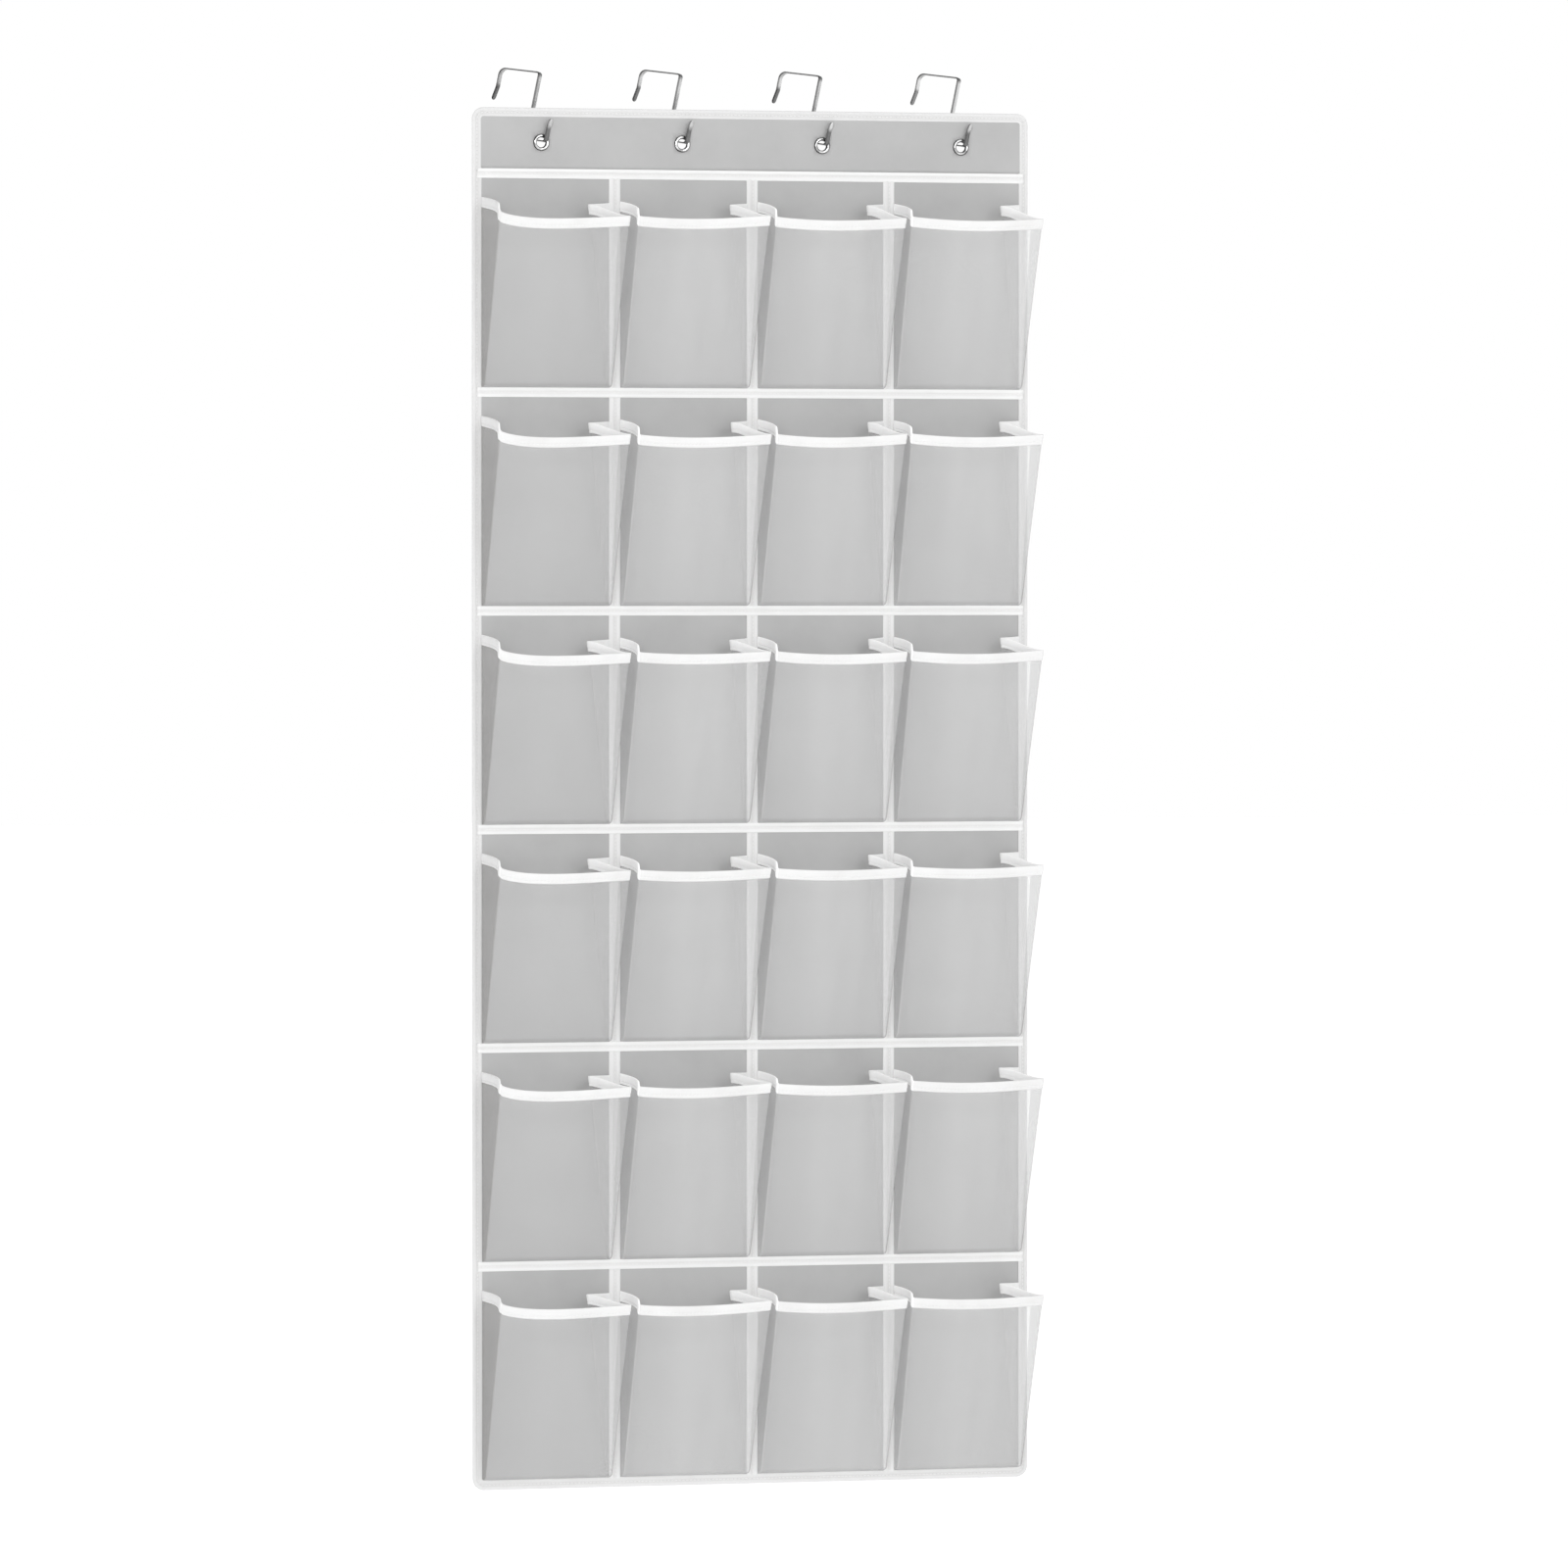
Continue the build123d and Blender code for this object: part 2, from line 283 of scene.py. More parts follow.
class Nodes:
    """Short calls for building the node tree of one material or world."""

    def __init__(self, name, kind=bpy.data.materials, shader="Principled BSDF"):
        self.owner = kind.new(name)
        self.owner.use_nodes = True
        self.tree = self.owner.node_tree
        self.shader = self.tree.nodes[shader]

    def node(self, kind, settings=None, **inputs):
        made = self.tree.nodes.new(kind)
        for key, value in (settings or {}).items():
            setattr(made, key, value)
        for key, value in inputs.items():
            self.put(made.inputs[key.replace("_", " ")], value)
        return made

    def put(self, socket, value):
        if isinstance(value, bpy.types.NodeSocket):
            self.tree.links.new(value, socket)
        else:
            socket.default_value = value

    def set(self, **inputs):
        for key, value in inputs.items():
            self.put(self.shader.inputs[key.replace("_", " ")], value)

    def cloth_place(self, scale=(1, 1, 1), turn=0.0):
        """Place on the cloth in metres, from the texture coordinates of the piece."""
        uv = self.node("ShaderNodeTexCoord").outputs["UV"]
        mapping = self.node("ShaderNodeMapping", Vector=uv, Scale=scale)
        mapping.inputs["Rotation"].default_value[2] = turn
        return mapping.outputs["Vector"]

    def room_place(self, scale=(1, 1, 1)):
        """Place in the CAD frame in metres."""
        position = self.node("ShaderNodeTexCoord").outputs["Object"]
        return self.node("ShaderNodeMapping", Vector=position, Scale=scale).outputs["Vector"]

    def noise(self, place, scale, detail, roughness=0.55):
        made = self.node(
            "ShaderNodeTexNoise", Vector=place, Scale=scale, Detail=detail, Roughness=roughness
        )
        return made.outputs["Fac"]

    def wave(self, place, scale, direction, distortion=0.0):
        made = self.node(
            "ShaderNodeTexWave",
            {"bands_direction": direction},
            Vector=place,
            Scale=scale,
            Distortion=distortion,
        )
        return made.outputs["Fac"]

    def math(self, operation, a, b):
        made = self.node("ShaderNodeMath", {"operation": operation})
        self.put(made.inputs[0], a)
        self.put(made.inputs[1], b)
        return made.outputs[0]

    def mix(self, a, b, share):
        """a and b added together, with b's share of the sum."""
        return self.math(
            "ADD", self.math("MULTIPLY", a, 1 - share), self.math("MULTIPLY", b, share)
        )

    def span(self, value, low, high, start=0.0, stop=1.0):
        """Moves a value from start..stop to low..high."""
        reach = dict(From_Min=start, From_Max=stop, To_Min=low, To_Max=high)
        return self.node("ShaderNodeMapRange", Value=value, **reach).outputs["Result"]

    def distance(self, value, place):
        return self.math("ABSOLUTE", self.math("SUBTRACT", value, place), 0)

    def ramp(self, value, stops):
        made = self.node("ShaderNodeValToRGB", Fac=value)
        elements = made.color_ramp.elements
        elements[0].position, elements[1].position = stops[0][0], stops[-1][0]
        for position, _ in stops[1:-1]:
            elements.new(position)
        for element, (_, colour) in zip(elements, stops):
            element.color = (*colour, 1)
        return made.outputs["Color"]

    def bump(self, height, distance, strength):
        made = self.node("ShaderNodeBump", Height=height, Distance=distance, Strength=strength)
        self.set(Normal=made.outputs["Normal"])


def grey(value, warmth=0.0):
    return (value * (1 + warmth), value, value * (1 - warmth))


def nonwoven(name, shade):
    """Thermally bonded cloth: bond dots in a staggered lattice, random fibres, slight clouding."""
    made = Nodes(name)
    lattice = made.cloth_place(turn=math.radians(45))
    dots_a = made.wave(lattice, 1 / (2 * math.pi * 0.36 * MM), "X")
    dots_b = made.wave(lattice, 1 / (2 * math.pi * 0.36 * MM), "Y")
    dots = made.math("MULTIPLY", dots_a, dots_b)
    fibres = made.noise(made.cloth_place((900, 2600, 900)), 1.0, 4.0)
    clouds = made.noise(made.room_place(), 14.0, 4.0, 0.6)
    weight = made.mix(clouds, fibres, 0.3)
    stops = [(0.3, grey(shade * 0.93)), (0.5, grey(shade)), (0.72, grey(shade * 1.06))]
    made.set(Base_Color=made.ramp(weight, stops), Roughness=made.span(fibres, 0.78, 0.95))
    made.set(Sheen_Weight=0.12, Sheen_Roughness=0.5, Specular_IOR_Level=0.25)
    height = made.math("SUBTRACT", made.math("MULTIPLY", fibres, 0.5), dots)
    made.bump(height, 0.12 * MM, 0.6)
    return made.owner


def woven_tape(name, shade, crease=0.35, fuzziness=0.15):
    """Binding tape: fine ribs across it, a little fuzz, greyer down its middle and lighter at its
    edges.
    """
    made = Nodes(name)
    ribs = made.wave(made.cloth_place(), 1 / (2 * math.pi * 0.13 * MM), "X")
    warp = made.wave(made.cloth_place(), 1 / (2 * math.pi * 0.1 * MM), "Y", 0.6)
    fuzz = made.noise(made.cloth_place((1400, 1400, 1400)), 1.0, 3.0)
    handling = made.noise(made.room_place(), 22.0, 5.0, 0.65)
    # Greyer down the tape's middle, lighter towards its edges.
    greyer_middle = made.wave(made.cloth_place(), 2 * math.pi / (20 * BORDER), "Y")
    weight = made.mix(made.mix(handling, fuzz, 0.3), greyer_middle, crease)
    stops = [(0.3, grey(shade * 0.91, 0.004)), (0.55, grey(shade)), (0.75, grey(shade * 1.03))]
    made.set(Base_Color=made.ramp(weight, stops), Roughness=made.span(fuzz, 0.62, 0.85))
    made.set(Sheen_Weight=fuzziness, Sheen_Roughness=0.45, Specular_IOR_Level=0.3)
    height = made.math("ADD", ribs, made.math("MULTIPLY", made.math("ADD", warp, fuzz), 0.5))
    made.bump(height, 0.07 * MM, 0.55)
    return made.owner


def pocket_net(name, shade, cover, warmth=0.0, middle_highlight=0.0):
    """Fine knitted net. Its holes are under a millimetre, so it mostly reads as a sheer veil.

    cover is about the share of it that is yarn. The last argument sets a painted highlight
    down the middle of the pocket's front.
    """
    made = Nodes(name)
    lattice = made.cloth_place(turn=math.radians(45))
    yarn_a = made.wave(lattice, 1 / (2 * math.pi * 0.17 * MM), "X")
    yarn_b = made.wave(lattice, 1 / (2 * math.pi * 0.17 * MM), "Y")
    yarn = made.math("MAXIMUM", yarn_a, yarn_b)
    streaks = made.noise(made.cloth_place((45, 3.5, 1)), 1.0, 2.0, 0.5)
    # Painted highlight: lighter towards the middle of the front, NET_MIDDLE round from the left
    # seam.
    painted_highlight = made.wave(made.cloth_place(), 2 * math.pi / (20 * 2 * NET_MIDDLE), "X")
    weight = made.mix(streaks, painted_highlight, 0.6)
    low, high = shade * (0.97 - middle_highlight / 2), shade * (1.03 + middle_highlight / 2)
    stops = [(0.3, grey(low, warmth)), (0.85, grey(high, warmth))]
    made.set(Base_Color=made.ramp(weight, stops), Roughness=made.span(yarn, 0.6, 0.42))
    made.set(Sheen_Weight=0.2, Sheen_Roughness=0.35, Specular_IOR_Level=0.35)
    made.set(Alpha=made.span(yarn, cover - 0.17, cover + 0.08))
    made.bump(yarn, 0.1 * MM, 0.5)
    return made.owner


def sewing_thread():
    """Two-ply polyester thread."""
    made = Nodes("sewing_thread")
    twist = made.wave(made.cloth_place(), 1 / (2 * math.pi * 0.09 * MM), "DIAGONAL")
    stops = [(0.2, grey(0.66)), (0.8, grey(0.8))]
    made.set(Base_Color=made.ramp(twist, stops), Roughness=made.span(twist, 0.6, 0.4))
    made.set(Sheen_Weight=0.2)
    made.bump(twist, 0.06 * MM, 0.7)
    return made.owner


def strip_steel():
    """Zinc-plated strip: drawn lines, dull patches, and painted shade in dark stretches and along
    one edge.
    """
    made = Nodes("strip_steel")
    lines = made.noise(made.room_place((1600, 1600, 40)), 1.0, 2.0)
    patches = made.noise(made.room_place(), 30.0, 3.0, 0.5)
    place = made.node("ShaderNodeSeparateXYZ", Vector=made.cloth_place()).outputs
    along = made.math("DIVIDE", place["X"], STRIP_RUN)
    # Painted shade: dark stretches along the strip, from STRIP_SHADES.
    painted_stretches = made.ramp(along, [(share, grey(value)) for share, value in STRIP_SHADES])
    # Painted shade along one edge of the strip.
    edge = made.span(made.distance(place["Y"], STRIP_EDGE), 0.35, 1, 0.8 * MM, 2.4 * MM)
    weight = made.math("MULTIPLY", painted_stretches, edge)
    weight = made.math("MULTIPLY", weight, made.math("ADD", patches, 0.5))
    stops = [(0.1, grey(0.08)), (0.35, grey(0.19)), (0.7, grey(0.5)), (1.0, grey(0.8))]
    made.set(Base_Color=made.ramp(weight, stops), Metallic=1.0)
    rough = made.math("ADD", made.math("MULTIPLY", patches, 0.25), 0.08)
    made.set(Roughness=made.math("ADD", rough, made.math("MULTIPLY", lines, 0.2)))
    made.bump(lines, 0.01 * MM, 0.3)
    return made.owner


def eyelet_nickel():
    """Bright nickel with fine scratches, and painted shade under its rim and down its throat."""
    made = Nodes("eyelet_nickel")
    scratches = made.noise(made.room_place((900, 900, 5200)), 1.0, 4.0)
    blotches = made.noise(made.room_place(), 170.0, 3.0)
    across = made.node("ShaderNodeSeparateXYZ", Vector=made.cloth_place()).outputs["Y"]
    # Painted shade: darkest at the flange's outer edge and down the throat.
    rim = made.span(across, 0, 1, 0.5 * MM, 1.9 * MM)
    throat = made.span(made.distance(across, EYELET_THROAT), 0.05, 1, 1.9 * MM, 3.2 * MM)
    crevice_shade = made.math("MULTIPLY", rim, throat)
    weight = made.math("MULTIPLY", crevice_shade, made.math("MULTIPLY", blotches, 1.5))
    stops = [(0.0, grey(0.03, 0.01)), (0.5, grey(0.14)), (0.7, grey(0.5)), (0.95, grey(0.7))]
    made.set(Base_Color=made.ramp(weight, stops), Metallic=1.0)
    made.set(Roughness=made.span(scratches, 0.05, 0.2))
    made.bump(scratches, 0.01 * MM, 0.4)
    return made.owner


CLOTH = nonwoven("panel_cloth", 0.375)
HEADER_CLOTH = nonwoven("header_cloth", 0.39)
TAPE = woven_tape("seam_tape", 0.74, 0.42)
UPRIGHT_TAPE = woven_tape("upright_tape", 0.67)
BORDER_TAPE = woven_tape("border_tape", 0.625)
MOUTH_BINDING = woven_tape("mouth_binding", 0.7, 0.0, 0.4)
# Painted light: the side bindings below are lighter copies of the mouth binding, lightest on
# the left sides of columns 2 to 4, against the shade of the next pocket.
LIT_SIDE_BINDING = woven_tape("lit_side_binding", 0.79, 0.0, 0.5)
LIT_INNER_BINDING = woven_tape("lit_inner_binding", 0.97, 0.0, 0.8)
# Column 1's front and left side are darker; the left sides of columns 2 to 4 are lighter,
# Painted light and shade: the nets below are copies of one net, set darker or lighter.
# against the shade of the next pocket. The front part of each right side is a dark net of
# painted shade, and the part behind it a thinner, slightly darker net, for shade in the pleat.
NET = pocket_net("pocket_net", 0.61, 0.36, 0.0, 0.3)
OUTER_NET = pocket_net("outer_net", 0.57, 0.36, 0.0, 0.1)
SIDE_NET = pocket_net("side_net", 0.72, 0.36)
SHADED_FOLD_NET = pocket_net("shaded_fold_net", 0.24, 0.37)
PLEAT_NET = pocket_net("pleat_net", 0.5, 0.13)
OUTER_SIDE_NET = pocket_net("outer_side_net", 0.37, 0.42, 0.025)
SEWING_THREAD = sewing_thread()
STEEL = strip_steel()
NICKEL = eyelet_nickel()


# Cloth layers


def punched_layer(xs, zs, y, hole_radius, block):
    """One layer of cloth with a round hole at each grommet.

    block is how far each side of a hole its square of rebuilt faces reaches.
    """
    columns = len(xs)
    x, z = np.meshgrid(xs, zs)
    points = [np.stack([x, y + sway(x, z), z], -1).reshape(-1, 3)]
    i, j = np.meshgrid(np.arange(len(zs) - 1), np.arange(columns - 1), indexing="ij")
    middle_x, middle_z = (xs[j] + xs[j + 1]) / 2, (zs[i] + zs[i + 1]) / 2
    kept = np.ones(i.shape, bool)
    for hole_x in hole_xs:
        kept &= (abs(middle_x - hole_x) > block) | (abs(middle_z - hole_z) > block)
    i, j = i[kept], j[kept]
    here, above = i * columns + j, (i + 1) * columns + j
    faces = [np.stack([here, here + 1, above + 1, above], -1)]
    count, rims = len(points[0]), []
    for hole_x in hole_xs:
        left, right = np.searchsorted(xs, [hole_x - block - 1e-6, hole_x + block - 1e-6])
        low, high = np.searchsorted(zs, [hole_z - block - 1e-6, hole_z + block - 1e-6])
        loop = [(low, k) for k in range(left, right)] + [(k, right) for k in range(low, high)]
        loop += [(high, k) for k in range(right, left, -1)]
        loop += [(k, left) for k in range(high, low, -1)]
        outer = np.array([a * columns + b for a, b in loop])
        away = points[0][outer] - [hole_x, y, hole_z]
        away = away / np.linalg.norm(away, axis=1)[:, None]
        points.append(np.array([hole_x, y, hole_z]) + away * hole_radius)
        inner = count + np.arange(len(outer))
        count += len(outer)
        faces.append(np.stack([outer, np.roll(outer, -1), np.roll(inner, -1), inner], -1))
        rims.append(inner)
    return np.concatenate(points), np.concatenate(faces), rims


def rounded(points, half, low, high, radius):
    """Draws in the points of a sheet that stand outside its rounded corners."""
    x, z = points[:, 0], points[:, 2]
    corner_x = np.sign(x) * (half - radius)
    corner_z = np.where(z > (low + high) / 2, high - radius, low + radius)
    outside = (abs(x) > half - radius) & ((z > high - radius) | (z < low + radius))
    away = np.stack([x - corner_x, z - corner_z], -1)
    distance = np.maximum(np.linalg.norm(away, axis=1), 1e-9)
    share = np.where(outside, np.minimum(1, radius / distance), 1)
    points[:, 0] = np.where(outside, corner_x + away[:, 0] * share, x)
    points[:, 2] = np.where(outside, corner_z + away[:, 1] * share, z)


def cloth_layer(name, half, low, high, corner, front, back, step, material):
    """A two-sided cloth, punched for the grommets."""
    block, hole_radius = 12 * MM, 6 * MM
    x_anchors = [-half, half] + [x + s * block for x in hole_xs for s in (-1, 1)]
    xs = spaced(sorted(x_anchors), step)
    zs = spaced([low, hole_z - block, hole_z + block, high], step)
    shell = Shell()
    sides = []
    for y in (front, back):
        points, faces, rims = punched_layer(xs, zs, y, hole_radius, block)
        rounded(points, half, low, high, corner)
        sides.append((points, faces if y == front else faces[:, ::-1], rims))
    count = len(sides[0][0])
    points = np.concatenate([sides[0][0], sides[1][0]])
    faces = [sides[0][1], sides[1][1] + count]
    columns, rows = len(xs), len(zs)
    edge = list(range(columns - 1)) + [k * columns + columns - 1 for k in range(rows - 1)]
    edge += [rows * columns - 1 - k for k in range(columns - 1)]
    edge += [(rows - 1 - k) * columns for k in range(rows - 1)]
    for loop, way in [(np.array(edge), 1)] + [(rim, -1) for rim in sides[0][2]]:
        after = np.roll(loop, -1)
        wall = np.stack([after, loop, loop + count, after + count], -1)
        faces.append(wall[:, ::way])
    faces = np.concatenate(faces)
    shell.add(points, [faces], [points[faces][:, :, [0, 2]]])
    return shell.piece(name, [material])


def make_cloth():
    inset = 0.8 * MM     # inside the fold of the border
    back = cloth_layer(
        "cloth_back",
        half=panel_high[0] - inset,
        low=panel_low[2] + inset,
        high=panel_high[2] - inset,
        corner=PANEL_CORNER - inset,
        front=cloth_front,
        back=cloth_back,
        step=6 * MM,
        material=CLOTH,
    )
    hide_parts("back_cloth")
    under = 4 * MM       # runs in under the border
    header = cloth_layer(
        "cloth_header",
        half=inner_half + under,
        low=band_low[2],
        high=band_high[2] + under,
        corner=PANEL_CORNER - BORDER + under,
        front=band_front,
        back=cloth_front - 0.05 * MM,
        step=4 * MM,
        material=HEADER_CLOTH,
    )
    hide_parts("header_band")
    for piece in (back, header):
        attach(piece, "panel")
    return back, header


# Tapes sewn to the panel


def tape_heights(across, groove, depth):
    """Height of a tape's face above the cloth at shares -1 to 1 of its half width."""
    edge = 1 - 0.55 * np.abs(across) ** 6
    valley = np.exp(-(((across - groove) / 0.17) ** 2))
    return edge - depth * valley


def tape_face(shares, groove, thickness, phases):
    """Heights over a run of stations; the thread pulls it down most at the needle holes."""
    pull = 0.5 + 0.12 * np.cos(2 * np.pi * phases)
    return thickness * tape_heights(shares[None], groove, pull[:, None])


# Places across a tape's face, and the ones that its flat back keeps
SHARES = np.array([-1, -0.9, -0.7, -0.42, -0.2, -0.08, 0.08, 0.2, 0.42, 0.7, 0.9, 1])
BACK_SHARES = [0, 5, 11]


def tape_run(name, at, count, width, groove, thickness, hump, material):
    """A tape sewn along a straight line, with its thread on the front and the back.

    at(s, a) gives x and z at share s of its length, a across from its middle.
    hump(x, z) is what it is lifted by where it passes over another tape.
    """
    phases = np.arange(2 * count + 1) / 2
    along = phases / count
    across = SHARES * width / 2
    s, a = np.meshgrid(along, across, indexing="ij")
    x, z = at(s, a)
    lift = tape_face(SHARES, groove, thickness, phases) + hump(x, z)
    ground = cloth_front + sway(x, z)
    top = np.stack([x, ground - lift, z], -1)
    base = np.stack([x, ground - hump(x, z) * 0.6 + 0.1 * MM, z], -1)[:, ::-1][:, BACK_SHARES]
    points = np.concatenate([top, base], 1)
    outline = np.concatenate([across, across[::-1][BACK_SHARES], across[:1]])
    start, end = np.array(at(0.0, 0.0)), np.array(at(1.0, 0.0))
    length = np.linalg.norm(end - start)
    shell = Shell()
    shell.add(*capped(points, along * length, outline))
    seam = np.arange(0, 2 * count + 1, 2)
    sx, sz = at(along[seam], np.full(len(seam), groove * width / 2))
    dip = tape_face(np.array([groove]), groove, thickness, phases[seam])[:, 0] + hump(sx, sz)
    holes = np.stack([sx, cloth_front + sway(sx, sz) - dip, sz], -1)
    forward = np.tile([0.0, -1.0, 0.0], (len(holes), 1))
    stitches(shell, holes, forward)
    holes = np.stack([sx, cloth_back + sway(sx, sz), sz], -1)
    stitches(shell, holes, -forward)
    piece = shell.piece(name, [material, SEWING_THREAD])
    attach(piece, "panel")
    return piece


def no_hump(x, z):
    return 0 * x


def onto_border(x):
    """Lift of a row tape where its ends run onto the border."""
    return 0.75 * MM * smooth((abs(x) - inner_half + 1.5 * MM) / (2 * MM))


def over_columns(x, z):
    """Lift of a row tape, which also crosses the column tapes."""
    slope, lift = 2.5 * MM, 0
    for column_x in column_xs:
        lift = lift + smooth((COLUMN_TAPE / 2 + slope - abs(x - column_x)) / slope)
    return lift * 0.6 * MM + onto_border(x)


def over_band(x, z):
    """Lift of the header's tape, whose upper half lies on the header band."""
    return onto_border(x) + 0.5 * MM * smooth((z - header_tape_z) / (2 * MM))


def make_row_tapes():
    end = inner_half + 5 * MM
    count = round(2 * end / STITCH)
    pieces = []
    for i, row_z in enumerate(row_zs):
        piece = tape_run(
            f"tape_row_{i + 1}",
            lambda s, a, row_z=row_z: ((2 * s - 1) * end, row_z + a + 0 * s),
            count,
            width=ROW_TAPE,
            groove=0.0,
            thickness=1.05 * MM,
            hump=over_columns if i else over_band,
            material=TAPE,
        )
        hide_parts("row_tapes")
        pieces.append(piece)
    return pieces


def make_column_tapes():
    top = header_tape_z - ROW_TAPE / 2 + 3 * MM
    bottom = panel_low[2] + BORDER - 3 * MM
    count = round((top - bottom) / STITCH)
    pieces = []
    for i, column_x in enumerate(column_xs):
        piece = tape_run(
            f"tape_column_{i + 1}",
            lambda s, a, column_x=column_x: (column_x + a + 0 * s, bottom + s * (top - bottom)),
            count,
            width=COLUMN_TAPE,
            groove=0.12,
            thickness=0.9 * MM,
            hump=no_hump,
            material=UPRIGHT_TAPE,
        )
        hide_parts("column_tapes")
        pieces.append(piece)
    return pieces


def border_stations():
    """Stations round the panel's edge: x, z, outward direction, and needle holes passed."""
    half, top, bottom = panel_high[0], panel_high[2], panel_low[2]
    flat_x, flat_z = half - PANEL_CORNER, (top - bottom) / 2 - PANEL_CORNER
    middle_z = (top + bottom) / 2
    corners = [(1, 1), (-1, 1), (-1, -1), (1, -1)]
    stations, phase = [], 0.0

    def on_arc(corner, out):
        return (
            corner[0] * flat_x + PANEL_CORNER * out[0],
            middle_z + corner[1] * flat_z + PANEL_CORNER * out[1],
        )

    for k, corner in enumerate(corners):
        turns = np.linspace(0, math.pi / 2, 13)[:-1] + k * math.pi / 2
        for n, turn in enumerate(turns):
            out = (math.cos(turn), math.sin(turn))
            stations.append((*on_arc(corner, out), *out, phase + n / 4))
        phase += 3
        straight = (k + 1) * math.pi / 2
        out = (round(math.cos(straight)), round(math.sin(straight)))
        start, end = on_arc(corner, out), on_arc(corners[(k + 1) % 4], out)
        holes = round(math.dist(start, end) / STITCH)
        for n in range(2 * holes):
            share = n / (2 * holes)
            x = start[0] + (end[0] - start[0]) * share
            z = start[1] + (end[1] - start[1]) * share
            stations.append((x, z, *out, phase + n / 2))
        phase += holes
    return np.array(stations)


def make_border():
    """Tape folded over the edge of the panel and sewn through, front and back."""
    stations = border_stations()
    x, z, out_x, out_z, phases = stations.T
    pull = 0.42 + 0.1 * np.cos(2 * np.pi * phases)
    inward = np.array([10, 9.7, 8.6, 7, 5.9, 5.3, 4.7, 4.1, 3, 1.8, 0.8, 0.2]) * MM
    shares = 1 - inward / (BORDER / 2)
    lip = BORDER_LIP * tape_heights(shares[None] * 0.98, 0.0, pull[:, None])
    nose = np.sqrt(np.clip(1 - ((BORDER_NOSE - inward) / BORDER_NOSE) ** 2, 0, 1))
    lip = lip * np.where(inward < BORDER_NOSE, nose, 1)[None]
    front_y, back_y = cloth_front - lip, cloth_back + lip
    inner = np.array([9.9, 1.0]) * MM
    across = np.concatenate([inward, [0.0], inward[::-1], inner, inner[::-1]])
    middle_y = np.full((len(x), 1), (cloth_front + cloth_back) / 2)
    inside_back = np.full((len(x), 2), cloth_back)
    inside_front = np.full((len(x), 2), cloth_front)
    depth = np.concatenate([front_y, middle_y, back_y[:, ::-1], inside_back, inside_front], 1)
    px = x[:, None] - out_x[:, None] * across[None]
    pz = z[:, None] - out_z[:, None] * across[None]
    points = np.stack([px, depth + sway(px, pz), pz], -1)
    line = np.stack([x, z], -1)
    u = lengths(np.concatenate([line, line[:1]]))
    v = np.concatenate([lengths(np.stack([across, depth[0]], -1)), [0.05]]) - BORDER / 2
    shell = Shell()
    shell.add(*skin(points, u, v, around=True, along=True))
    at_hole = np.where(abs(phases - np.round(phases)) < 1e-6)[0]
    at_hole = np.append(at_hole, at_hole[0])
    groove_x = (x - out_x * BORDER / 2)[at_hole]
    groove_z = (z - out_z * BORDER / 2)[at_hole]
    dip = BORDER_LIP * (1 - 0.52)
    for y, way in ((cloth_front - dip, -1.0), (cloth_back + dip, 1.0)):
        holes = np.stack([groove_x, y + sway(groove_x, groove_z), groove_z], -1)
        stitches(shell, holes, np.tile([0.0, way, 0.0], (len(holes), 1)))
    piece = shell.piece("binding_border", [BORDER_TAPE, SEWING_THREAD])
    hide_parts("border_binding")
    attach(piece, "panel")
    return piece


# Pockets


